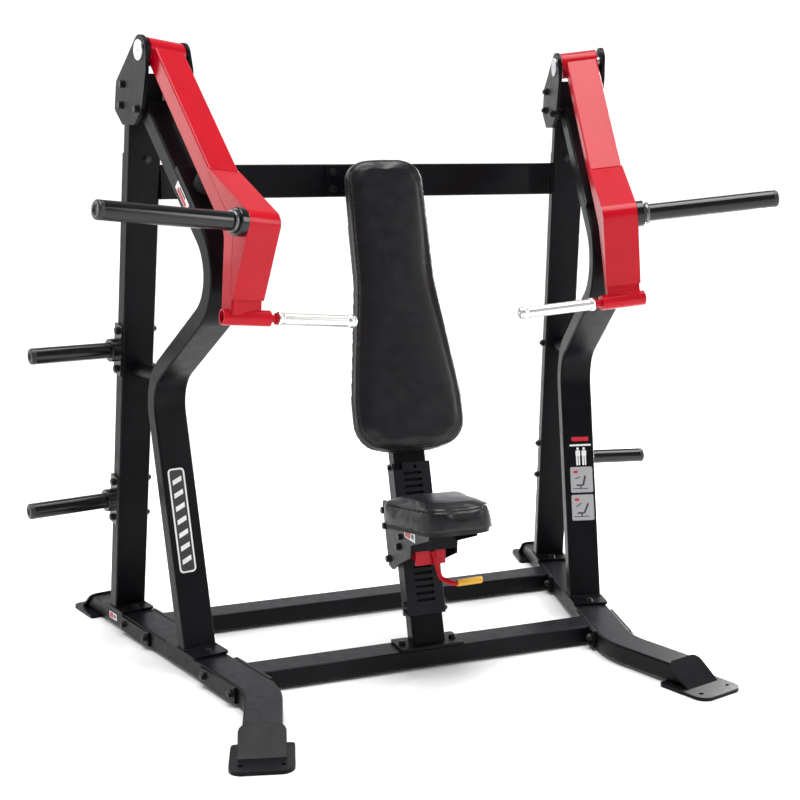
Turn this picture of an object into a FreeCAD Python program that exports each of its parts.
import FreeCAD, Part
import math
import os

Vector = FreeCAD.Vector
os.makedirs("parts", exist_ok=True)

# Chest press machine, plate loaded, with two converging arms. All sizes are in millimetres.
# Heights in this file are measured from the underside of the base rails, which stand on foot
# plates. The exported frame has its origin on the floor, in the middle of the machine, with
# -Y towards the user's front, +X to the right of someone facing the machine, and +Z up.

# ---- Driving dimensions -------------------------------------------------------------------
FOOT_PLATE = 10.0          # thickness of the foot plates under the rails
CENTRE_Y = 486.1           # moves the origin to the middle of the machine's depth

TUBE_WIDE = 100.0          # frame tube, 100 x 50 x 3
TUBE_DEEP = 50.0
WALL = 3.0
TUBE_CORNER = 6.0
HALF = TUBE_WIDE / 2

TOE = 14.0                 # the two side frames close towards the front by this angle, degrees
SIDE_X = 754.5             # side frame's distance from the middle, at its own zero

RAIL_BEND_AT = 905.0       # front foot turns outwards here
RAIL_FLARE = 29.5          # degrees
RAIL_BEND_RADIUS = 230.0
RAIL_REAR = 253.0
FOOT_REACH = 315.0         # from the flare's corner to the tip of the tube
FOOT_SLOPE_RUN = 68.0      # the rail's ends are cut back by this much at the top
FOOT_PLATE_WIDE = 160.0
FOOT_HOLE_R = 6.5
FOOT_HOLE_OFFSET = 52.0

FRONT_BEAM_AT = 740.0      # along the rail
REAR_BEAM_AT = 171.0
FRONT_BEAM_Y = -706.0
REAR_BEAM_Y = -154.0
FLANGE = 10.0
FLANGE_HALF = 104.0
BACKING = 8.0
BEAM_BOLT_OFFSET = 82.0

BASE_PLATE = 8.0
BASE_PLATE_HALF_WIDE = 55.0
REAR_POST_SLOPE = 0.1926   # forward travel of the rear upright's front face per unit of height
REAR_POST_TOP = 1480.0
HEAD_POST_DEEP = 42.0
HEAD_POST_TOP = 1698.0

FRONT_POST_FOOT = 497.8    # path of the front upright's centre line, forward and height
FRONT_POST_ELBOW = (343.0, 818.0)
FRONT_POST_KNEE = (839.0, 1119.0)
FRONT_POST_END = (392.0, 1594.0)
FRONT_POST_RADIUS = 140.0

PIVOT = (420.0, 1742.0)    # arm pivot, forward and height
PIVOT_PLATE = 10.0
PLATE_OUT = 57.0           # inner face of the outer pivot plate, from the side frame's middle
PLATE_IN = 67.0            # and of the inner one
BOSS_R = 17.0              # round bosses that stand the plates off the upright
ARM_TOE = 7.0              # the arms close further than the side frames by this angle, degrees
ARM_ROLL = 5.7             # and their pivots rise outwards by this angle
PIVOT_PLATE_R = 42.0
SHAFT_R = 15.0
RUNNING = 0.05             # radial clearance of the running fits
HOUSING_R = 38.0
HOUSING_BORE = 31.0
HOUSING_OUT = 50.0         # ends of the arm's bearing housing
HOUSING_IN = 59.0

ARM_SLOPE = 48.6           # degrees below the horizontal
ARM_OFFSET = 14.6          # the arm's centre line passes in front of the pivot by this much
ARM_WIDE = 93.0
ARM_DEEP = 50.0
ARM_WALL = 4.0
ARM_KNEE = (446.0, -484.0) # forward and up from the pivot, in the arm's own plane
ARM_END = (452.0, -700.0)
ARM_BEND_RADIUS = 80.0
GUSSET_HALF = 48.2
GUSSET_TOP = (339.0, -327.0)
GUSSET_APEX = (544.0, -450.0)
GUSSET_FOOT = (480.0, -661.0)
GUSSET_ROUND = 36.0
GUSSET_LAP = 6.0           # the box's sides lap over the tube's sides by this much
STUB_R = 21.0
HANDLE_OUTER = (880.0, 72.0, 1045.0)     # forward, outward, height of the handle's axis
HANDLE_INNER = (925.0, -293.0, 1013.0)
GRIP_R = 16.0
HORN_BASE = (932.0, 46.0, 1283.0)
HORN_TIP = (965.0, 426.0, 1319.0)
SLEEVE_R = 24.0
COLLAR_R = 36.0

STOP_PLATE = 16.0
BUMPER_R = 25.0

PEG_HEIGHTS = (900.0, 422.0)
PEG_TIP = 313.0
PEG_COLLAR_R = 35.0
SPACER_HEIGHT = 835.0
SPACER_R = 24.0

CROSS_HEIGHT = 1395.0
CROSS_Y = -207.0
CROSS_BEND_X = 573.0
CROSS_SIDE_AT = 248.0

COLUMN_LEAN = 15.0         # seat column leans back, degrees
COLUMN_FRONT_Y = -741.0    # where its front face would meet the rails' underside
COLUMN_BEND_RADIUS = 70.0
TRACK = 8.0                # thickness of the slotted track
TRACK_LOW = 142.0          # along the column
TRACK_HIGH = 568.0
SLOT_TOP = 555.0
SLOT_PITCH = 19.5
SLOT_COUNT = 20
SLOT_WIDE = 56.0
SLOT_HIGH = 8.0

BACK_LOW = 612.0           # back pad, along the column
BACK_HIGH = 1500.0
BACK_HALF_TOP = 127.0
BACK_HALF_LOW = 176.0
BACK_BOARD = 10.0
BACK_THICK = 52.0

SEAT_TILT = 6.0            # seat rises to the front, degrees
SEAT_REAR = (-680.0, 420.0)     # depth and height of the pad's lower rear edge
SEAT_LONG = 316.0
SEAT_HALF_REAR = 140.0
SEAT_HALF_FRONT = 100.0
SEAT_THICK = 75.0
SEAT_BOARD = 12.0
CARRIAGE_HALF = 66.0       # to the inner faces of its side plates
CARRIAGE_PLATE = 6.0
ROLLER_R = 23.0
FRONT_ROLLER_R = 13.0
ROLLER_GAP = 0.4
LATCH_GAP = 0.5            # the tongue is drawn just clear of the slotted face
LEVER_PIVOT = (-688.0, 372.0)   # depth and height
LEVER_ROD_R = 7.0
LEVER_GRIP_R = 10.0

M12 = 6.0                  # bolt shank radius
BOLT_CLEARANCE = 0.5


# ---- Outlines and places ------------------------------------------------------------------
def on_side(across):
    """Plane of a side frame: (forward, height), at a distance across the tube."""
    return lambda forward, height: Vector(across, -forward, height)


def on_plan(height):
    """Horizontal plane of a side frame: (outward, forward)."""
    return lambda outward, forward: Vector(outward, -forward, height)


def on_middle(across):
    """Upright plane along the machine: (depth Y, height), at a distance X."""
    return lambda depth, height: Vector(across, depth, height)


def corner_points(corners):
    """Start, middle and end of the arc at each (a, b, radius) corner of a closed outline."""
    arcs = []
    count = len(corners)
    for i in range(count):
        a, b, radius = corners[i]
        here = Vector(a, b, 0)
        if radius == 0:
            arcs.append((here, None, here))
            continue
        before = Vector(corners[i - 1][0], corners[i - 1][1], 0) - here
        following = corners[(i + 1) % count]
        after = Vector(following[0], following[1], 0) - here
        half_angle = before.getAngle(after) / 2
        reach = radius / math.tan(half_angle)
        before.normalize()
        after.normalize()
        middle_way = before + after
        middle_way.normalize()
        centre_out = radius / math.sin(half_angle)
        middle = here + middle_way * (centre_out - radius)
        arcs.append((here + before * reach, middle, here + after * reach))
    return arcs


def outline(corners, place):
    """Closed wire of straight lines with rounded corners."""
    arcs = corner_points(corners)
    edges = []
    for i, (start, middle, end) in enumerate(arcs):
        last = arcs[i - 1][2]
        if (start - last).Length > 1e-6:
            edges.append(Part.LineSegment(place(last.x, last.y), place(start.x, start.y)).toShape())
        if middle is not None:
            arc = Part.Arc(place(start.x, start.y), place(middle.x, middle.y), place(end.x, end.y))
            edges.append(arc.toShape())
    return Part.Wire(edges)


def prism(corners, place, travel):
    return Part.Face(outline(corners, place)).extrude(travel)


def strip(path, half, radius):
    """Outline of a strip of even width along a bent path."""
    left = []
    right = []
    count = len(path)
    for i, (a, b) in enumerate(path):
        here = Vector(a, b, 0)
        if i > 0:
            into = here - Vector(path[i - 1][0], path[i - 1][1], 0)
            into.normalize()
        if i < count - 1:
            out = Vector(path[i + 1][0], path[i + 1][1], 0) - here
            out.normalize()
        if i == 0:
            into = out
        if i == count - 1:
            out = into
        side_in = Vector(-into.y, into.x, 0)
        side_out = Vector(-out.y, out.x, 0)
        mitre = side_in + side_out
        mitre.normalize()
        reach = half / mitre.dot(side_in)
        turn = into.x * out.y - into.y * out.x
        left_radius = 0
        right_radius = 0
        if 0 < i < count - 1:
            left_radius = radius - half if turn > 0 else radius + half
            right_radius = radius + half if turn > 0 else radius - half
        left.append((a + mitre.x * reach, b + mitre.y * reach, left_radius))
        right.append((a - mitre.x * reach, b - mitre.y * reach, right_radius))
    return left + right[::-1]


def stretched(path, extra):
    """The same path, longer by extra at both ends."""
    first = Vector(path[0][0] - path[1][0], path[0][1] - path[1][1], 0)
    last = Vector(path[-1][0] - path[-2][0], path[-1][1] - path[-2][1], 0)
    first.normalize()
    last.normalize()
    start = (path[0][0] + first.x * extra, path[0][1] + first.y * extra)
    end = (path[-1][0] + last.x * extra, path[-1][1] + last.y * extra)
    return [start] + list(path[1:-1]) + [end]


def rounded_along(solid, ends, radius):
    """Rounds the long edges of an extruded strip, and leaves the edges around its ends."""
    edges = []
    for edge in solid.Edges:
        middle = edge.valueAt((edge.FirstParameter + edge.LastParameter) / 2)
        if min(middle.distanceToPoint(end) for end in ends) > 0.5:
            edges.append(edge)
    return solid.makeFillet(radius, edges)


def tube_solid(path, bend, deep, place, travel, corner):
    """Outer form of a rectangular tube: deep in the path's plane, travel across it."""
    solid = prism(strip(path, deep / 2, bend), place, travel)
    ends = []
    for a, b in (path[0], path[-1]):
        flat = place(a, b)
        ends += [flat, flat + travel]
    first = Vector(path[0][0], path[0][1], 0)
    second = Vector(path[1][0], path[1][1], 0)
    before_last = Vector(path[-2][0], path[-2][1], 0)
    last = Vector(path[-1][0], path[-1][1], 0)
    for end, inner in ((first, second), (last, before_last)):
        way = end - inner
        way.normalize()
        for sign in (-1, 1):
            edge_at = end + Vector(-way.y, way.x, 0) * (sign * deep / 2)
            ends.append(place(edge_at.x, edge_at.y) + travel * 0.5)
    return rounded_along(solid, ends, corner)


def tube_void(path, bend, deep, place, travel, wall, extra=2.0):
    """Inside of the same tube, open past both ends by extra."""
    across = travel * (wall / travel.Length)
    inner = prism(strip(stretched(path, extra), deep / 2 - wall, bend), place, travel - across * 2)
    inner.translate(across)
    return inner


def box(x0, x1, y0, y1, z0, z1):
    return Part.makeBox(x1 - x0, y1 - y0, z1 - z0, Vector(x0, y0, z0))


def plate(x0, x1, y0, y1, z0, z1, corner):
    """Flat plate with rounded corners in plan."""
    corners = [(x0, y0, corner), (x1, y0, corner), (x1, y1, corner), (x0, y1, corner)]
    return prism(corners, lambda x, y: Vector(x, y, z0), Vector(0, 0, z1 - z0))


def rod(start, end, radius):
    way = end - start
    return Part.makeCylinder(radius, way.Length, start, way)


def side_point(forward, outward, height):
    return Vector(outward, -forward, height)


def fused(shapes):
    return shapes[0].multiFuse(shapes[1:]).removeSplitter()


# ---- Side frames, column frame and export -------------------------------------------------
def to_right(shape):
    """From a side frame's own place to the right side of the machine."""
    placed = shape.copy()
    placed.rotate(Vector(0, 0, 0), Vector(0, 0, 1), -TOE)
    placed.translate(Vector(SIDE_X, 0, 0))
    return placed


def to_left(shape):
    return to_right(shape).mirror(Vector(0, 0, 0), Vector(1, 0, 0))


COLUMN_UP = Vector(0, math.sin(math.radians(COLUMN_LEAN)), math.cos(math.radians(COLUMN_LEAN)))
COLUMN_OUT = Vector(0, -COLUMN_UP.z, COLUMN_UP.y)


def on_column(across, along, out):
    """Point by the seat column: across X, along the column, out from its front face."""
    return Vector(across, COLUMN_FRONT_Y, 0) + COLUMN_UP * along + COLUMN_OUT * out


def column_box(x0, x1, along0, along1, out0, out1):
    block = box(x0, x1, -out1, -out0, along0, along1)
    return lean(block)


def lean(shape):
    """Turns an upright shape, with its front face at Y = 0, to lie along the column."""
    placed = shape.copy()
    placed.rotate(Vector(0, 0, 0), Vector(1, 0, 0), -COLUMN_LEAN)
    placed.translate(Vector(0, COLUMN_FRONT_Y, 0))
    return placed


def export(name, *solids):
    pieces = []
    for shape in solids:
        pieces += shape.Solids
    group = pieces[0] if len(pieces) == 1 else Part.makeCompound(pieces)
    group = group.copy()
    group.translate(Vector(0, CENTRE_Y, FOOT_PLATE))
    group.exportStep("parts/" + name + ".step")


def export_sides(name, shape):
    export(name + "_right", to_right(shape))
    export(name + "_left", to_left(shape))


# ---- Fasteners ----------------------------------------------------------------------------
def hexagon(centre, way, radius, height):
    """Six-sided prism from centre along way."""
    ring = [Vector(radius * math.cos(math.radians(60 * i)), radius * math.sin(math.radians(60 * i)), 0)
            for i in range(7)]
    prism_up = Part.Face(Part.makePolygon(ring)).extrude(Vector(0, 0, height))
    prism_up.Placement = FreeCAD.Placement(centre, FreeCAD.Rotation(Vector(0, 0, 1), way))
    return prism_up


def bolt(at, out, grip, shank=M12, nut=True):
    """Bolt with its head on the face at the point at, facing out, and a nut past its grip."""
    way = Vector(out)
    way.normalize()
    washer = Part.makeCylinder(shank * 2.0, shank * 0.35, at, way)
    head_at = at + way * (shank * 0.35)
    head = hexagon(head_at, way, shank * 1.75, shank * 1.2)
    crown = Part.makeCylinder(shank * 1.2, shank * 0.2, head_at + way * (shank * 1.2), way)
    spare = shank * 2.4 if nut else 0
    stem = Part.makeCylinder(shank, grip + spare + 1, at + way, way * -1)
    solids = [fused([washer, head, crown, stem])]
    if nut:
        nut_at = at - way * grip
        block = hexagon(nut_at, way * -1, shank * 1.75, shank * 1.7)
        solids.append(block.cut(Part.makeCylinder(shank + 0.05, grip + 60, at + way, way * -1)))
    return solids


def bolt_hole(at, out, grip, shank=M12):
    way = Vector(out)
    way.normalize()
    return Part.makeCylinder(shank + BOLT_CLEARANCE, grip + 60, at + way * 30, way * -1)


class BoltGroup:
    """Bolts that belong together, and the holes that they need."""

    def __init__(self):
        self.solids = []
        self.holes = []

    def add(self, at, out, grip, shank=M12, nut=True):
        self.solids += bolt(at, out, grip, shank, nut)
        self.holes.append(bolt_hole(at, out, grip, shank))

    def drill(self, shape):
        near = [hole for hole in self.holes if hole.BoundBox.intersect(shape.BoundBox)]
        return shape.cut(near) if near else shape


# ---- Base: rails, feet and beams ----------------------------------------------------------
FLARE = math.radians(RAIL_FLARE)
FLARE_WAY = (math.sin(FLARE), math.cos(FLARE))       # outward and forward
SLOPE = math.degrees(math.atan2(TUBE_DEEP, FOOT_SLOPE_RUN))


def rail_bolts():
    """Bolts that clamp the beams' flanges and the backing plates to a rail."""
    group = BoltGroup()
    for beam_at in (FRONT_BEAM_AT, REAR_BEAM_AT):
        for offset in (-BEAM_BOLT_OFFSET, BEAM_BOLT_OFFSET):
            at = side_point(beam_at + offset, HALF + BACKING, TUBE_DEEP / 2)
            group.add(at, Vector(1, 0, 0), TUBE_WIDE + BACKING + FLANGE)
    return group


def foot_base_bolts():
    """Bolts that hold the uprights' base plates on a rail."""
    group = BoltGroup()
    for forward in (REAR_BASE_MID - 64, REAR_BASE_MID + 64, FRONT_POST_FOOT - 74, FRONT_POST_FOOT + 74):
        at = side_point(forward, 0, TUBE_DEEP + BASE_PLATE)
        group.add(at, Vector(0, 0, 1), BASE_PLATE + WALL, nut=False)
    return group


REAR_BASE_MID = REAR_POST_SLOPE * TUBE_DEEP - TUBE_DEEP / 2
RAIL_BOLTS = rail_bolts()
BASE_BOLTS = foot_base_bolts()


def slope_cut(tip):
    """Block that takes the top off a tube end. It is made for an end that points along -Y."""
    corners = [(tip, 0, 0), (tip - FOOT_SLOPE_RUN, TUBE_DEEP, 0),
               (tip - FOOT_SLOPE_RUN, TUBE_DEEP + 80, 0), (tip + 80, TUBE_DEEP + 80, 0), (tip + 80, 0, 0)]
    return prism(corners, on_side(-TUBE_WIDE), Vector(TUBE_WIDE * 2, 0, 0))


def foot(tip, plate_front, plate_rear, front_corner):
    """Ground plate with a sloping cover on the tube's end, for an end that points along -Y."""
    half = FOOT_PLATE_WIDE / 2
    corners = [(-half, plate_front, front_corner), (half, plate_front, front_corner),
               (half, plate_rear, 12), (-half, plate_rear, 12)]
    ground = prism(corners, on_plan(-FOOT_PLATE), Vector(0, 0, FOOT_PLATE))
    long = math.hypot(TUBE_DEEP, FOOT_SLOPE_RUN) + 4
    cover = prism([(-60, -10, 0), (60, -10, 0), (60, long, 24), (-60, long, 24)],
                  lambda x, y: Vector(x, y, 0), Vector(0, 0, 6))
    cover.rotate(Vector(0, 0, 0), Vector(1, 0, 0), SLOPE)
    cover.translate(Vector(0, -tip, 0))
    trim = box(-80, 80, -tip - 60, -tip + 80, -40, 0)
    whole = fused([ground, cover.cut(trim)])
    for side in (-1, 1):
        at = Vector(side * FOOT_HOLE_OFFSET, -(plate_front - 36), -FOOT_PLATE - 1)
        whole = whole.cut(Part.makeCylinder(FOOT_HOLE_R, FOOT_PLATE + 2, at))
    return whole


def flared(shape):
    """From an end along -Y, measured from the flare's corner, to the rail's front foot."""
    placed = shape.copy()
    placed.rotate(Vector(0, 0, 0), Vector(0, 0, 1), RAIL_FLARE)
    placed.translate(side_point(RAIL_BEND_AT, 0, 0))
    return placed


def turned_back(shape):
    placed = shape.copy()
    placed.rotate(Vector(0, 0, 0), Vector(0, 0, 1), 180)
    return placed


def base_rail():
    path = [(0, -RAIL_REAR), (0, RAIL_BEND_AT),
            (FOOT_REACH * FLARE_WAY[0], RAIL_BEND_AT + FOOT_REACH * FLARE_WAY[1])]
    up = Vector(0, 0, TUBE_DEEP)
    outer = tube_solid(path, RAIL_BEND_RADIUS, TUBE_WIDE, on_plan(0), up, TUBE_CORNER)
    inner = tube_void(path, RAIL_BEND_RADIUS, TUBE_WIDE, on_plan(0), up, WALL)
    rail = outer.cut(inner).cut(flared(slope_cut(FOOT_REACH))).cut(turned_back(slope_cut(RAIL_REAR)))
    return BASE_BOLTS.drill(RAIL_BOLTS.drill(rail))


def cross_beam(depth, along):
    """Beam between the rails, with a flange at each end that lies along the rail."""
    reach = 720.0
    y0 = depth - TUBE_WIDE / 2
    y1 = depth + TUBE_WIDE / 2
    outer = box(-reach, reach, y0, y1, 0, TUBE_DEEP)
    long_edges = [edge for edge in outer.Edges if edge.Length > reach]
    outer = outer.makeFillet(TUBE_CORNER, long_edges)
    inner = box(-reach, reach, y0 + WALL, y1 - WALL, WALL, TUBE_DEEP - WALL)
    beam = outer.cut(inner)
    inner_face = -HALF - FLANGE
    outside = box(inner_face, 900, -1300, 500, -60, 200)
    flange = box(inner_face, -HALF, -(along + FLANGE_HALF), -(along - FLANGE_HALF), 0, TUBE_DEEP)
    flange = RAIL_BOLTS.drill(flange)
    beam = beam.cut(to_right(outside)).cut(to_left(outside))
    return fused([beam, to_right(flange), to_left(flange)])


def backing_plates():
    plates = []
    for along in (FRONT_BEAM_AT, REAR_BEAM_AT):
        block = box(HALF, HALF + BACKING, -(along + FLANGE_HALF), -(along - FLANGE_HALF), 3, TUBE_DEEP - 3)
        plates.append(RAIL_BOLTS.drill(block))
    return plates


# ---- Side frames: uprights, pivot plates, pegs --------------------------------------------
def rear_post_centre(height):
    half_level = TUBE_DEEP / 2 * math.hypot(1, REAR_POST_SLOPE)
    return REAR_POST_SLOPE * height - half_level


LEAN_WAY = Vector(0, -REAR_POST_SLOPE, 1)
LEAN_WAY.normalize()
POST_FRONT = Vector(0, -LEAN_WAY.z, -REAR_POST_SLOPE * LEAN_WAY.z)
ACROSS = Vector(TUBE_WIDE, 0, 0)
PLATE_BOLTS_AT = ((303.0, 1668.0), (287.0, 1611.0), (396.0, 1593.0))
FRONT_POST_PATH = [(FRONT_POST_FOOT, TUBE_DEEP + BASE_PLATE), FRONT_POST_ELBOW, FRONT_POST_KNEE,
                   FRONT_POST_END]
REAR_POST_PATH = [(rear_post_centre(TUBE_DEEP + BASE_PLATE), TUBE_DEEP + BASE_PLATE),
                  (rear_post_centre(REAR_POST_TOP), REAR_POST_TOP)]


def pivot_bolts():
    group = BoltGroup()
    for forward, height in PLATE_BOLTS_AT:
        at = side_point(forward, PLATE_OUT + PIVOT_PLATE, height)
        group.add(at, Vector(1, 0, 0), PLATE_OUT + PLATE_IN + PIVOT_PLATE * 2)
    return group


def peg_bolts(heights):
    """Through bolts above and below each storage peg."""
    group = BoltGroup()
    for height in heights:
        for offset in (-58, 58):
            level = height + offset
            at = side_point(rear_post_centre(level), HALF + 8, level)
            group.add(at, Vector(1, 0, 0), TUBE_WIDE + 8)
    return group


def head_bolts():
    """Bolt in the front of a rear upright that holds the plug of the slimmer top post."""
    group = BoltGroup()
    level = REAR_POST_TOP - 20
    forward = rear_post_centre(level) + TUBE_DEEP / 2 * math.hypot(1, REAR_POST_SLOPE)
    group.add(side_point(forward, -7, level), POST_FRONT, WALL + 10, nut=False)
    return group


PIVOT_BOLTS = pivot_bolts()
PEG_BOLTS = peg_bolts(PEG_HEIGHTS)
HEAD_BOLTS = head_bolts()


def drilled(shape):
    for group in (BASE_BOLTS, PIVOT_BOLTS, PEG_BOLTS, HEAD_BOLTS):
        shape = group.drill(shape)
    return shape


def level_cut(bottom, top):
    return box(-300, 300, -1400, 600, bottom, top)


def rear_upright():
    path = stretched(REAR_POST_PATH, 20)
    outer = tube_solid(path, 0, TUBE_DEEP, on_side(-HALF), ACROSS, TUBE_CORNER)
    inner = tube_void(path, 0, TUBE_DEEP, on_side(-HALF), ACROSS, WALL)
    level = level_cut(TUBE_DEEP + BASE_PLATE, REAR_POST_TOP)
    tube = outer.cut(inner).common(level)
    base = plate(-BASE_PLATE_HALF_WIDE, BASE_PLATE_HALF_WIDE, -(REAR_BASE_MID + 86),
                 -(REAR_BASE_MID - 86), TUBE_DEEP, TUBE_DEEP + BASE_PLATE, 8)
    return drilled(fused([tube, base]))


def head_post():
    """Slimmer top of the rear upright, with a plug that fits inside the tube below."""
    back_off = (TUBE_DEEP - HEAD_POST_DEEP) / 2
    path = []
    for height in (REAR_POST_TOP - 20, HEAD_POST_TOP + 20):
        path.append((rear_post_centre(height) + back_off, height))
    outer = tube_solid(path, 0, HEAD_POST_DEEP, on_side(-HALF), ACROSS, TUBE_CORNER)
    inner = tube_void(path, 0, HEAD_POST_DEEP, on_side(-HALF), ACROSS, WALL)
    post = outer.cut(inner).common(level_cut(REAR_POST_TOP, HEAD_POST_TOP))
    plug_path = []
    for height in (REAR_POST_TOP - 130, REAR_POST_TOP + 20):
        plug_path.append((rear_post_centre(height), height))
    plug_half = HALF - WALL - 1
    plug_deep = TUBE_DEEP - 2 * WALL - 4
    across = Vector(plug_half * 2, 0, 0)
    plug = prism(strip(plug_path, plug_deep / 2, 0), on_side(-plug_half), across)
    plug_void = tube_void(plug_path, 0, plug_deep, on_side(-plug_half), across, 5)
    return drilled(fused([post, plug.cut(plug_void)]))


def front_upright():
    path = list(FRONT_POST_PATH)
    lower = FRONT_POST_ELBOW
    slope = (lower[0] - path[0][0]) / (lower[1] - path[0][1])
    path[0] = (path[0][0] - slope * 20, path[0][1] - 20)
    outer = tube_solid(path, FRONT_POST_RADIUS, TUBE_DEEP, on_side(-HALF), ACROSS, TUBE_CORNER)
    inner = tube_void(path, FRONT_POST_RADIUS, TUBE_DEEP, on_side(-HALF), ACROSS, WALL)
    below = level_cut(-100, TUBE_DEEP + BASE_PLATE)
    base = plate(-BASE_PLATE_HALF_WIDE, BASE_PLATE_HALF_WIDE, -(FRONT_POST_FOOT + 97),
                 -(FRONT_POST_FOOT - 97), TUBE_DEEP, TUBE_DEEP + BASE_PLATE, 8)
    return drilled(fused([outer.cut(inner).cut(below), base]))


def to_arm(shape):
    """From the arm's own plane, measured from its pivot, to the side frame's coordinates."""
    placed = shape.copy()
    placed.rotate(Vector(0, 0, 0), Vector(0, 1, 0), -ARM_ROLL)
    placed.rotate(Vector(0, 0, 0), Vector(0, 0, 1), -ARM_TOE)
    placed.translate(side_point(PIVOT[0], 0, PIVOT[1]))
    return placed


def pivot_at(across):
    """Forward and height of the pivot's tilted axis at a distance outwards."""
    forward = across * math.tan(math.radians(ARM_TOE))
    height = across * math.tan(math.radians(ARM_ROLL)) / math.cos(math.radians(ARM_TOE))
    return PIVOT[0] + forward, PIVOT[1] + height


def on_pivot(start, end, radius):
    """Round bar along the pivot's axis."""
    return to_arm(rod(Vector(start, 0, 0), Vector(end, 0, 0), radius))


def pivot_plate(side):
    """Plate that carries one end of the pivot shaft: the outer one at side 1, the inner at -1."""
    face = PLATE_OUT if side > 0 else PLATE_IN
    start = min(side * face, side * (face + PIVOT_PLATE))
    ring = PIVOT_PLATE_R
    centre = pivot_at(side * (face + PIVOT_PLATE / 2))
    rear = (257.0, 1680.0)
    front = (466.0, 1692.0)
    corners = [rear + (22,), (236.0, 1603.0, 16), (288.0, 1556.0, 10), (372.0, 1551.0, 12),
               (428.0, 1592.0, 12), front + (30,)]
    corners += [touch_point(front, centre, 1) + (0,), centre + (0,)]
    corners += [touch_point(rear, centre, -1) + (0,)]
    across = Vector(PIVOT_PLATE, 0, 0)
    parts = [prism(corners, on_side(start), across)]
    parts.append(Part.makeCylinder(ring, PIVOT_PLATE, side_point(centre[0], start, centre[1]), across))
    for forward, height in PLATE_BOLTS_AT:
        parts.append(rod(side_point(forward, side * HALF, height),
                         side_point(forward, side * (face + 1), height), BOSS_R))
    return PIVOT_BOLTS.drill(fused(parts).cut(on_pivot(-120, 120, SHAFT_R + RUNNING)))


def touch_point(point, centre, side):
    """Where the line from a point touches the ring about a centre."""
    run = point[0] - centre[0]
    rise = point[1] - centre[1]
    apart = math.hypot(run, rise)
    angle = math.atan2(rise, run) + side * math.acos(PIVOT_PLATE_R / apart)
    return (centre[0] + PIVOT_PLATE_R * math.cos(angle), centre[1] + PIVOT_PLATE_R * math.sin(angle))


def pivot_shaft():
    between = box(-PLATE_IN - PIVOT_PLATE, PLATE_OUT + PIVOT_PLATE, -600, 0, 1600, 1900)
    return on_pivot(-120, 120, SHAFT_R).common(between)


def shaft_caps():
    """Bright round caps over the ends of the shaft, each with a small centre dimple."""
    caps = []
    for side in (-1, 1):
        face = PLATE_OUT + PIVOT_PLATE if side > 0 else -PLATE_IN - PIVOT_PLATE
        forward, height = pivot_at(face)
        outward = Vector(side, 0, 0)
        cap = Part.makeCylinder(28.5, 5, side_point(forward, face, height), outward)
        rim = [edge for edge in cap.Edges if abs(edge.CenterOfMass.x - (face + side * 5)) < 0.1]
        cap = cap.makeFillet(1.5, rim)
        dimple = Part.makeCone(4, 1, 3, side_point(forward, face + side * 5, height), outward * -1)
        caps.append(cap.cut(dimple))
    return caps


def storage_peg(height):
    """Sleeve for spare plates, with a collar and a flange that is bolted to the upright."""
    centre = rear_post_centre(height)
    flange = box(0, 8, -26, 26, -78, 78)
    flange.rotate(Vector(0, 0, 0), Vector(1, 0, 0), math.degrees(math.atan(REAR_POST_SLOPE)))
    flange.translate(side_point(centre, HALF, height))
    flange = PEG_BOLTS.drill(flange)
    face = HALF + 8
    collar = Part.makeCylinder(PEG_COLLAR_R, 28, side_point(centre, face, height), Vector(1, 0, 0))
    collar = collar.makeFillet(3, [edge for edge in collar.Edges if edge.CenterOfMass.x > face + 27])
    sleeve = Part.makeCylinder(SLEEVE_R, PEG_TIP - face, side_point(centre, face, height),
                               Vector(1, 0, 0))
    collar = collar.cut(bolt_head_room(PEG_BOLTS))
    void = Part.makeCylinder(SLEEVE_R - 4, PEG_TIP, side_point(centre, face + 4, height), Vector(1, 0, 0))
    return fused([flange, collar, sleeve]).cut(void)


def bolt_head_room(group):
    """Space around the bolt heads of a group."""
    rooms = []
    for solid in group.solids:
        if solid.BoundBox.XMax > HALF:
            middle = solid.BoundBox.Center
            rooms.append(Part.makeCylinder(15, 60, Vector(HALF + 8, middle.y, middle.z), Vector(1, 0, 0)))
    return Part.makeCompound(rooms)


def end_cap(base, way, radius):
    """Rounded plastic cap that plugs a sleeve, with a dished face."""
    way = Vector(way)
    way.normalize()
    skirt = Part.makeCylinder(radius, 14, base, way)
    rim = max(skirt.Edges, key=lambda edge: edge.CenterOfMass.dot(way) if edge.Closed else -1e9)
    skirt = skirt.makeFillet(6, [rim])
    dish = Part.makeCone(radius * 0.42, radius * 0.55, 4.1, base + way * 10, way)
    plug = Part.makeCylinder(SLEEVE_R - 4.2, 20, base - way * 20, way)
    return fused([skirt.cut(dish), plug])


def spacer_tube():
    """Short round tube that ties the two uprights together."""
    start = side_point(120, 0, SPACER_HEIGHT)
    end = side_point(345, 0, SPACER_HEIGHT)
    outer = rod(start, end, SPACER_R)
    void = rod(start, end, SPACER_R - 4)
    rear = tube_solid(stretched(REAR_POST_PATH, 20), 0, TUBE_DEEP, on_side(-HALF), ACROSS, TUBE_CORNER)
    front = tube_solid(FRONT_POST_PATH, FRONT_POST_RADIUS, TUBE_DEEP, on_side(-HALF), ACROSS,
                       TUBE_CORNER)
    pieces = outer.cut(void).cut(rear).cut(front).Solids
    return max(pieces, key=lambda piece: piece.Volume)


# ---- Arm stops ----------------------------------------------------------------------------
UPPER_WAY = Vector(FRONT_POST_END[0] - FRONT_POST_KNEE[0], FRONT_POST_END[1] - FRONT_POST_KNEE[1], 0)
UPPER_WAY.normalize()
UPPER_OUT = Vector(UPPER_WAY.y, -UPPER_WAY.x, 0)
STOP_ALONG = 312.0         # from the knee corner to the middle of the stop, along the tube
STOP_HALF = 78.0


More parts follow.
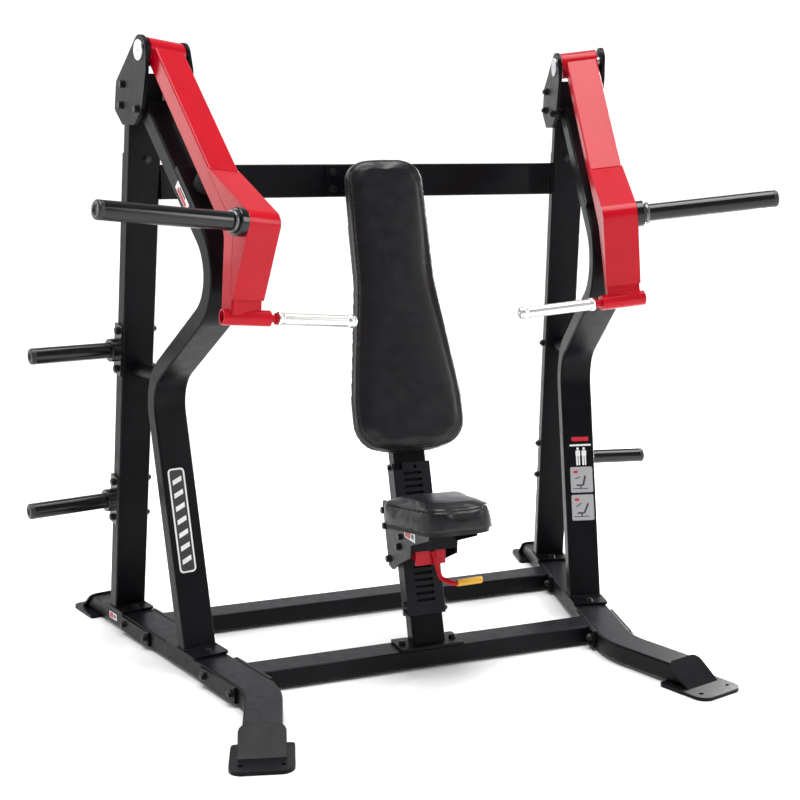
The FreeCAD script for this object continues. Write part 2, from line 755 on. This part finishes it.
def upper_post_point(along, out):
    """Forward and height of a point by the front upright's upper run."""
    spot = Vector(FRONT_POST_KNEE[0], FRONT_POST_KNEE[1], 0) + UPPER_WAY * along + UPPER_OUT * out
    return (spot.x, spot.y)


def stop_block():
    face = TUBE_DEEP / 2
    corners = [upper_post_point(STOP_ALONG - STOP_HALF, face) + (0,),
               upper_post_point(STOP_ALONG + STOP_HALF, face) + (0,),
               upper_post_point(STOP_ALONG + STOP_HALF, face + STOP_PLATE) + (4,),
               upper_post_point(STOP_ALONG - STOP_HALF, face + STOP_PLATE) + (4,)]
    return prism(corners, on_side(-HALF), ACROSS)


def rubber_bumper():
    """Bumper on the stop block, cut off just short of the back of the arm."""
    base_at = upper_post_point(STOP_ALONG, TUBE_DEEP / 2 + STOP_PLATE)
    out_way = side_point(UPPER_OUT.x, 0, UPPER_OUT.y)
    body = Part.makeCone(BUMPER_R + 4, BUMPER_R - 2, 120, side_point(base_at[0], 0, base_at[1]), out_way)
    rear = [arm_point(-200, -ARM_DEEP / 2 - 0.5), arm_point(900, -ARM_DEEP / 2 - 0.5),
            arm_point(900, 300), arm_point(-200, 300)]
    beyond = prism([corner + (0,) for corner in rear], on_side(-200), Vector(400, 0, 0))
    return body.cut(to_arm(beyond))


# ---- Arms ---------------------------------------------------------------------------------
def arm_point(along, out):
    """Forward and up, from the pivot, of a point beside the arm's upper run."""
    angle = math.radians(ARM_SLOPE)
    forward = math.cos(angle) * along + math.sin(angle) * (ARM_OFFSET + out)
    up = math.cos(angle) * (ARM_OFFSET + out) - math.sin(angle) * along
    return (forward, up)


def arm_path(first):
    return [arm_point(first, 0), ARM_KNEE, ARM_END]


def gusset_corners(inset):
    """Box in the bend of the arm: along the upper run, out to the apex, back to the lower run."""
    top_inside = (GUSSET_TOP[0] - 17, GUSSET_TOP[1] - 15)
    foot_inside = (GUSSET_FOOT[0] - 24, GUSSET_FOOT[1])
    shape = [GUSSET_TOP, GUSSET_APEX, GUSSET_FOOT, foot_inside, ARM_KNEE, top_inside]
    middle = Vector(493, -480, 0)
    corners = []
    for i, (forward, up) in enumerate(shape):
        spot = Vector(forward, up, 0)
        pull = middle - spot
        pull.normalize()
        spot = spot + pull * (inset * (2.6 if i in (0, 2) else 1.3))
        corners.append((spot.x, spot.y, GUSSET_ROUND - inset if i == 1 else 0))
    return corners


def press_arm():
    across = Vector(ARM_WIDE, 0, 0)
    sides = on_side(-ARM_WIDE / 2)
    housing = rod(Vector(-HOUSING_IN, 0, 0), Vector(HOUSING_OUT, 0, 0), HOUSING_R)
    bore = rod(Vector(-HOUSING_IN - 5, 0, 0), Vector(HOUSING_OUT + 5, 0, 0), HOUSING_BORE)
    tube = tube_solid(arm_path(26), ARM_BEND_RADIUS, ARM_DEEP, sides, across, 5)
    tube_inside = tube_void(arm_path(HOUSING_R + 10), ARM_BEND_RADIUS, ARM_DEEP, sides, across,
                            ARM_WALL, extra=-1.0)
    gusset = prism(gusset_corners(0), on_side(-GUSSET_HALF), Vector(GUSSET_HALF * 2, 0, 0))
    behind_seam = strip(stretched(arm_path(26), 5), ARM_DEEP / 2 - GUSSET_LAP, ARM_BEND_RADIUS)
    gusset = gusset.cut(prism(behind_seam, on_side(-ARM_WIDE), across * 2))
    gusset_inside = prism(gusset_corners(6), on_side(-GUSSET_HALF + ARM_WALL),
                          Vector((GUSSET_HALF - ARM_WALL) * 2, 0, 0))
    gusset_inside = gusset_inside.cut(tube)
    outer_end, way = handle_axis()
    stub = Part.makeCylinder(STUB_R, 130, outer_end, way)
    stub_inside = Part.makeCylinder(STUB_R - 4, 122, outer_end - way, way)
    neck = Part.makeCylinder(10, 152, outer_end, way)
    collar = Part.makeCylinder(15, 4, outer_end + way * 146, way)
    metal = fused([to_arm(fused([housing, tube, gusset])), stub, neck, collar])
    hollows = [to_arm(tube_inside).cut(stub), to_arm(gusset_inside).cut(stub), to_arm(bore), stub_inside]
    for hollow in hollows:
        metal = metal.cut(hollow)
    return metal


def handle_axis():
    outer_end = side_point(*HANDLE_OUTER)
    way = side_point(*HANDLE_INNER) - outer_end
    way.normalize()
    return outer_end, way


def pivot_bearings():
    rings = []
    for start in (-HOUSING_IN, HOUSING_OUT - 18):
        ring = rod(Vector(start, 0, 0), Vector(start + 18, 0, 0), HOUSING_BORE)
        hole = rod(Vector(start, 0, 0), Vector(start + 18, 0, 0), SHAFT_R + RUNNING)
        rings.append(to_arm(ring.cut(hole)))
    return rings


def hand_grip():
    """Bright steel grip with a raised ring at each end and a domed tip."""
    outer_end, way = handle_axis()
    start = outer_end + way * 152
    long = 214.0
    body = Part.makeCylinder(GRIP_R, long, start, way)
    rings = []
    for along in (0.0, long - 12.0):
        rings.append(Part.makeCylinder(GRIP_R + 2.5, 12, start + way * along, way))
    tip = Part.makeCylinder(GRIP_R + 1, 9, start + way * long, way)
    far = max(tip.Edges, key=lambda edge: edge.CenterOfMass.dot(way) if edge.Closed else -1e9)
    return fused([body, rings[0], rings[1], tip.makeFillet(4, [far])])


def horn_axis():
    base = side_point(*HORN_BASE)
    way = side_point(*HORN_TIP) - base
    long = way.Length
    way.normalize()
    return base, way, long


def weight_horn():
    """Sleeve that holds the weight plates, with a broad collar against the arm."""
    base, way, long = horn_axis()
    start = base - way * 40
    collar = Part.makeCylinder(COLLAR_R, 48, start, way)
    far = max(collar.Edges, key=lambda edge: edge.CenterOfMass.dot(way) if edge.Closed else -1e9)
    collar = collar.makeFillet(5, [far])
    seat = Part.makeCylinder(SLEEVE_R + 5, 12, start + way * 48, way)
    sleeve = Part.makeCylinder(SLEEVE_R, long + 40 - 14, start, way)
    void = Part.makeCylinder(SLEEVE_R - 4, long, start + way * 52, way)
    inside = to_arm(box(-200, GUSSET_HALF, -900, 100, -900, 0))
    return fused([collar, seat, sleeve]).cut(void).cut(inside)


def horn_cap():
    base, way, long = horn_axis()
    return end_cap(base + way * (long - 14), way, SLEEVE_R)


# ---- Crossbar and seat column -------------------------------------------------------------
def column_flange_bolts():
    group = BoltGroup()
    for x in (-109, 109):
        for offset in (-26, 26):
            at = Vector(x, CROSS_Y - TUBE_DEEP / 2 - FLANGE, CROSS_HEIGHT + offset)
            group.add(at, Vector(0, -1, 0), TUBE_DEEP + FLANGE)
    return group


def column_base_bolts():
    group = BoltGroup()
    for x in (-78, 78):
        at = Vector(x, FRONT_BEAM_Y, TUBE_DEEP + BASE_PLATE)
        group.add(at, Vector(0, 0, 1), BASE_PLATE + WALL, nut=False)
    return group


COLUMN_FLANGE_BOLTS = column_flange_bolts()
COLUMN_BASE_BOLTS = column_base_bolts()


def crossbar():
    toe = math.radians(TOE)
    outward = -HALF - 8
    end = (SIDE_X + outward * math.cos(toe) - CROSS_SIDE_AT * math.sin(toe),
           -outward * math.sin(toe) - CROSS_SIDE_AT * math.cos(toe))
    path = [(-end[0], end[1]), (-CROSS_BEND_X, CROSS_Y), (CROSS_BEND_X, CROSS_Y), end]
    low = CROSS_HEIGHT - TUBE_WIDE / 2
    up = Vector(0, 0, TUBE_WIDE)
    place = lambda x, y: Vector(x, y, low)
    outer = tube_solid(path, 90, TUBE_DEEP, place, up, TUBE_CORNER)
    inner = tube_void(path, 90, TUBE_DEEP, place, up, WALL)
    end_plate = box(outward, -HALF, -32, 32, -TUBE_WIDE / 2, TUBE_WIDE / 2)
    end_plate.translate(side_point(rear_post_centre(CROSS_HEIGHT), 0, CROSS_HEIGHT))
    bar = fused([outer.cut(inner), to_right(end_plate), to_left(end_plate)])
    return COLUMN_FLANGE_BOLTS.drill(bar)


def seat_column():
    half_level = TUBE_DEEP / 2 / COLUMN_UP.z
    slope = COLUMN_UP.y / COLUMN_UP.z
    foot_z = TUBE_DEEP + BASE_PLATE
    front = COLUMN_FRONT_Y + half_level
    flange_y = CROSS_Y - TUBE_DEEP / 2 - FLANGE
    path = [(front + slope * (foot_z - 20), foot_z - 20), (front + slope * CROSS_HEIGHT, CROSS_HEIGHT),
            (flange_y, CROSS_HEIGHT)]
    outer = tube_solid(path, COLUMN_BEND_RADIUS, TUBE_DEEP, on_middle(-HALF), ACROSS, TUBE_CORNER)
    inner = tube_void(path, COLUMN_BEND_RADIUS, TUBE_DEEP, on_middle(-HALF), ACROSS, WALL)
    beyond = box(-200, 200, flange_y, flange_y + 100, 1200, 1600)
    tube = outer.cut(inner).cut(level_cut(-100, foot_z)).cut(beyond)
    base = plate(-97, 97, FRONT_BEAM_Y - 50, FRONT_BEAM_Y + 50, TUBE_DEEP, foot_z, 6)
    flange = box(-129, 129, flange_y, flange_y + FLANGE, CROSS_HEIGHT - 45, CROSS_HEIGHT + 45)
    column = fused([tube, base, flange])
    return COLUMN_BASE_BOLTS.drill(COLUMN_FLANGE_BOLTS.drill(column))


def track_bolts():
    group = BoltGroup()
    for side in (-1, 1):
        at = on_column(side * (HALF + TRACK), TRACK_HIGH + 8, -24)
        group.add(at, Vector(side, 0, 0), TRACK + WALL + 2, shank=4.0, nut=False)
    for along in (TRACK_LOW + 12, TRACK_LOW + 34):
        at = on_column(-(HALF + TRACK), along, -14)
        group.add(at, Vector(-1, 0, 0), (HALF + TRACK) * 2, shank=5.0)
    return group


TRACK_BOLTS = track_bolts()


def seat_track():
    """Channel around the column with a ladder of slots for the seat's latch."""
    wide = HALF + TRACK
    web = box(-wide, wide, -TRACK, 0, TRACK_LOW, TRACK_HIGH)
    tab = box(-30, wide, -TRACK, 0, TRACK_HIGH, TRACK_HIGH + 20)
    sides = []
    for x in (-wide, HALF):
        sides.append(box(x, x + TRACK, 0, 44, TRACK_LOW, TRACK_HIGH + 20))
    channel = fused([web, tab] + sides)
    edges = []
    for edge in channel.Edges:
        box_of = edge.BoundBox
        upright = box_of.ZLength > 100 and box_of.XLength < 0.1
        if upright and box_of.YMax < 0 and abs(abs(box_of.XMax) - wide) < 0.1:
            edges.append(edge)
    channel = channel.makeFillet(3, edges)
    for i in range(SLOT_COUNT):
        middle = SLOT_TOP - SLOT_PITCH * i
        low = middle - SLOT_HIGH / 2
        slot = box(-SLOT_WIDE / 2, SLOT_WIDE / 2, -TRACK - 1, 1, low, low + SLOT_HIGH)
        channel = channel.cut(slot)
    hole = Part.makeCylinder(5, TRACK + 2, Vector(10, -TRACK - 1, TRACK_HIGH + 6), Vector(0, 1, 0))
    return TRACK_BOLTS.drill(lean(channel.cut(hole)))


def drilled_column(shape):
    return TRACK_BOLTS.drill(shape)


# ---- Pads ---------------------------------------------------------------------------------
def back_outline(grow):
    """Outline of the back pad across and along the column, larger by grow all round."""
    top = BACK_HIGH + grow
    low = BACK_LOW - grow
    half_top = BACK_HALF_TOP + grow
    half_low = BACK_HALF_LOW + grow
    right = [(70 + grow, low, 160), (half_low, low + 26, 88), (half_low, 775, 300),
             (half_top + 4, 1120, 500), (half_top, top - 22, 72), (50 + grow, top, 150)]
    left = [(-x, y, radius) for x, y, radius in right[::-1]]
    return right + left


def back_solid(grow, out0, out1):
    flat = prism(back_outline(grow), lambda x, z: Vector(x, -out1, z), Vector(0, out1 - out0, 0))
    return lean(flat)


def back_pad():
    low = BRACKET + BACK_BOARD
    return back_solid(0, low, low + BACK_THICK)


def back_board():
    return back_solid(-14, BRACKET, BRACKET + BACK_BOARD)


BRACKET = 5.0


def back_brackets():
    """Two flat straps on the column's front that the back pad's board is screwed to."""
    straps = []
    for along in (760, 1290):
        strap = plate(-85, 85, along - 25, along + 25, 0, BRACKET, 8)
        strap.rotate(Vector(0, 0, 0), Vector(1, 0, 0), 90)
        straps.append(lean(strap))
    return straps


def tilt(shape):
    """From level, with the rear lower edge at the origin, to the seat's tilt and place."""
    placed = shape.copy()
    placed.rotate(Vector(0, 0, 0), Vector(1, 0, 0), -SEAT_TILT)
    placed.translate(Vector(0, SEAT_REAR[0], SEAT_REAR[1]))
    return placed


def seat_outline(grow):
    front = -SEAT_LONG - grow
    return [(-SEAT_HALF_REAR - grow, grow, 40), (SEAT_HALF_REAR + grow, grow, 40),
            (SEAT_HALF_FRONT + grow, front, 62), (-SEAT_HALF_FRONT - grow, front, 62)]


def seat_pad():
    return tilt(prism(seat_outline(0), lambda x, y: Vector(x, y, 0), Vector(0, 0, SEAT_THICK)))


def seat_board():
    return tilt(prism(seat_outline(-10), lambda x, y: Vector(x, y, -SEAT_BOARD), Vector(0, 0, SEAT_BOARD)))


# ---- Seat carriage ------------------------------------------------------------------------
REAR_FACE = -TUBE_DEEP
ROLLERS = (("roller_rear_upper", on_column(0, 456, REAR_FACE - ROLLER_R - ROLLER_GAP), ROLLER_R),
           ("roller_rear_lower", on_column(0, 312, REAR_FACE - ROLLER_R - ROLLER_GAP), ROLLER_R),
           ("roller_front", on_column(0, 345, TRACK + FRONT_ROLLER_R + ROLLER_GAP), FRONT_ROLLER_R))
AXLE_R = 6.0
TOP_PLATE = 5.0
TIE_BOLT = on_column(0, 410, REAR_FACE - 24)     # crosses behind the column, between the rollers


def cross_rod(y, z, half, radius):
    return Part.makeCylinder(radius, half * 2, Vector(-half, y, z), Vector(1, 0, 0))


def seat_level(depth, below):
    """Height of a line parallel to the seat's underside, at a depth."""
    slope = math.tan(math.radians(SEAT_TILT))
    return SEAT_REAR[1] + slope * (SEAT_REAR[0] - depth) - below


def carriage_profile():
    under = SEAT_BOARD / math.cos(math.radians(SEAT_TILT))
    return [(-662, 452, 12), (-535, 452, 14), (-585, 261, 12), (-622, 257, 14), (-657, 280, 6),
            (-768, 329, 4), (-772, 366, 4), (-912, 413, 4), (-915, seat_level(-915, under), 4),
            (-662, seat_level(-662, under), 4)]


def seat_carriage():
    outer = CARRIAGE_HALF + CARRIAGE_PLATE
    thickness = Vector(CARRIAGE_PLATE, 0, 0)
    shapes = []
    for start in (-outer, CARRIAGE_HALF):
        shapes.append(prism(carriage_profile(), on_middle(start), thickness))
    bed = box(-CARRIAGE_HALF, CARRIAGE_HALF, -235, -8, -SEAT_BOARD - TOP_PLATE, -SEAT_BOARD)
    shapes.append(tilt(bed))
    step = box(-CARRIAGE_HALF, CARRIAGE_HALF, -773, -768, 346, 440)
    top_trim = tilt(box(-300, 300, -500, 300, -SEAT_BOARD, 200))
    shapes.append(step.cut(top_trim))
    frame = fused(shapes)
    for centre in [roller[1] for roller in ROLLERS] + [TIE_BOLT]:
        frame = frame.cut(cross_rod(centre.y, centre.z, outer + 2, AXLE_R + 0.3))
    return frame.cut(cross_rod(LEVER_PIVOT[0], LEVER_PIVOT[1], outer + 2, 5.3))


def roller(centre, radius):
    half = CARRIAGE_HALF - 4 if radius == ROLLER_R else 24.0
    body = cross_rod(centre.y, centre.z, half, radius)
    edges = [edge for edge in body.Edges if edge.Closed]
    body = body.makeFillet(2, edges)
    return body.cut(cross_rod(centre.y, centre.z, half + 2, AXLE_R + RUNNING))


def axle(centre, radius):
    """Bolt through both side plates, with its head at the left and a nut at the right."""
    outer = CARRIAGE_HALF + CARRIAGE_PLATE
    at = Vector(-outer, centre.y, centre.z)
    return bolt(at, Vector(-1, 0, 0), outer * 2, shank=radius)


def glide_pads():
    """Plastic strips between the carriage's side plates and the track."""
    pads = []
    gap = 0.4
    for side in (-1, 1):
        inner = side * (HALF + TRACK + gap)
        outer = side * CARRIAGE_HALF
        x0, x1 = sorted((inner, outer))
        pads.append(column_box(x0, x1, 300, 390, -36, -8))
    return pads


# ---- Seat lever ---------------------------------------------------------------------------
LATCH_ALONG = SLOT_TOP - SLOT_PITCH * 13
ROD_PATH = [Vector(5, -746, 336), Vector(22, -762, 258), Vector(52, -785, 245), Vector(135, -785, 247)]


def seat_lever():
    """Red latch: a folded bracket on the pivot pin, its tongue, and the bent operating rod."""
    y, z = LEVER_PIVOT
    barrel = cross_rod(y, z, 46, 9)
    face = box(-46, 46, -742, -737, 296, 374)
    ears = []
    for x in (-46, 41):
        ears.append(box(x, x + 5, -740, y, 308, 374))
    tongue = box(-24, 24, -(TRACK + 75), -(TRACK + LATCH_GAP), LATCH_ALONG - 2.5, LATCH_ALONG + 2.5)
    tongue = lean(tongue).common(box(-60, 60, -742, -600, 200, 420))
    operating = bent_rod(ROD_PATH, LEVER_ROD_R, 16)
    body = fused([barrel, face] + ears + [tongue, operating])
    return body.cut(cross_rod(y, z, 50, 5.05))


def bent_rod(points, radius, bend):
    """Round bar along straight runs joined by arcs."""
    edges = []
    last = points[0]
    for i in range(1, len(points) - 1):
        here = points[i]
        before = points[i - 1] - here
        after = points[i + 1] - here
        half_angle = before.getAngle(after) / 2
        before.normalize()
        after.normalize()
        reach = bend / math.tan(half_angle)
        middle_way = before + after
        middle_way.normalize()
        start = here + before * reach
        end = here + after * reach
        middle = here + middle_way * (bend / math.sin(half_angle) - bend)
        edges.append(Part.LineSegment(last, start).toShape())
        edges.append(Part.Arc(start, middle, end).toShape())
        last = end
    edges.append(Part.LineSegment(last, points[-1]).toShape())
    path = Part.Wire(edges)
    section = Part.Wire([Part.makeCircle(radius, points[0], points[1] - points[0])])
    return path.makePipeShell([section], True, False)


def lever_grip():
    """Soft sleeve over the end of the rod."""
    way = ROD_PATH[3] - ROD_PATH[2]
    way.normalize()
    start = ROD_PATH[3] - way * 72
    body = Part.makeCylinder(LEVER_GRIP_R, 78, start, way)
    far = max(body.Edges, key=lambda edge: edge.CenterOfMass.x if edge.Closed else -1e9)
    body = body.makeFillet(4, [far])
    return body.cut(Part.makeCylinder(LEVER_ROD_R, 72, start, way))


# ---- Export ------------------------------------------------------------------------------
def export_base():
    front_foot = flared(foot(FOOT_REACH, 400.0, 236.0, 34))
    rear_foot = turned_back(foot(RAIL_REAR, 300.0, 130.0, 26))
    export_sides("base_rail", base_rail())
    export_sides("front_foot", front_foot)
    export_sides("rear_foot", rear_foot)
    export("cross_beam_front", COLUMN_BASE_BOLTS.drill(cross_beam(FRONT_BEAM_Y, FRONT_BEAM_AT)))
    export("cross_beam_rear", cross_beam(REAR_BEAM_Y, REAR_BEAM_AT))
    plates = backing_plates()
    export("beam_backing_plates", *[to_right(p) for p in plates], *[to_left(p) for p in plates])


def export_side_frames():
    export_sides("rear_upright", rear_upright())
    export_sides("head_post", head_post())
    export_sides("front_upright", front_upright())
    export_sides("pivot_plate_outer", pivot_plate(1))
    export_sides("pivot_plate_inner", pivot_plate(-1))
    shaft = pivot_shaft()
    export("pivot_shafts", to_right(shaft), to_left(shaft))
    caps = shaft_caps()
    export("pivot_shaft_caps", *[to_right(cap) for cap in caps], *[to_left(cap) for cap in caps])
    spacer = spacer_tube()
    export("upright_spacers", to_right(spacer), to_left(spacer))
    block = stop_block()
    export("arm_stops", to_right(block), to_left(block))
    bumper = rubber_bumper()
    export("stop_bumpers", to_right(bumper), to_left(bumper))


def export_pegs():
    upper = storage_peg(PEG_HEIGHTS[0])
    lower = storage_peg(PEG_HEIGHTS[1])
    export("storage_peg_upper_left", to_left(upper))
    export_sides("storage_peg_lower", lower)
    caps = []
    for height in PEG_HEIGHTS:
        at = side_point(rear_post_centre(height), PEG_TIP, height)
        caps.append(end_cap(at, Vector(1, 0, 0), SLEEVE_R))
    export("peg_end_caps", to_left(caps[0]), to_left(caps[1]), to_right(caps[1]))


def export_arms():
    export_sides("press_arm", press_arm())
    bearings = Part.makeCompound(pivot_bearings())
    export_sides("pivot_bearings", bearings)
    export_sides("hand_grip", hand_grip())
    export_sides("weight_horn", weight_horn())
    export_sides("horn_cap", horn_cap())


def export_seat():
    export("crossbar", crossbar())
    export("seat_column", drilled_column(seat_column()))
    export("seat_track", seat_track())
    export("back_pad_brackets", *back_brackets())
    export("back_pad_board", back_board())
    export("back_pad", back_pad())
    export("seat_pad", seat_pad())
    export("seat_board", seat_board())
    export("seat_carriage", seat_carriage())
    export("seat_glide_pads", *glide_pads())
    axles = []
    for name, centre, radius in ROLLERS:
        export(name, roller(centre, radius))
        axles += axle(centre, AXLE_R)
    axles += axle(TIE_BOLT, AXLE_R)
    export("roller_axles", *axles)
    export("seat_lever", seat_lever())
    export("lever_pin", *axle(Vector(0, LEVER_PIVOT[0], LEVER_PIVOT[1]), 5.0))
    export("lever_grip", lever_grip())


def export_bolts():
    mirrored = RAIL_BOLTS.solids + BASE_BOLTS.solids + HEAD_BOLTS.solids
    solids = [to_right(solid) for solid in mirrored] + [to_left(solid) for solid in mirrored]
    export("frame_bolts", *solids)
    pivot = PIVOT_BOLTS.solids
    export("pivot_plate_bolts", *[to_right(solid) for solid in pivot], *[to_left(solid) for solid in pivot])
    pegs = PEG_BOLTS.solids
    export("peg_bolts", *[to_right(solid) for solid in pegs], *[to_left(solid) for solid in pegs])
    export("column_bolts", *COLUMN_FLANGE_BOLTS.solids, *COLUMN_BASE_BOLTS.solids)
    export("track_bolts", *TRACK_BOLTS.solids)


export_base()
export_side_frames()
export_pegs()
export_arms()
export_seat()
export_bolts()
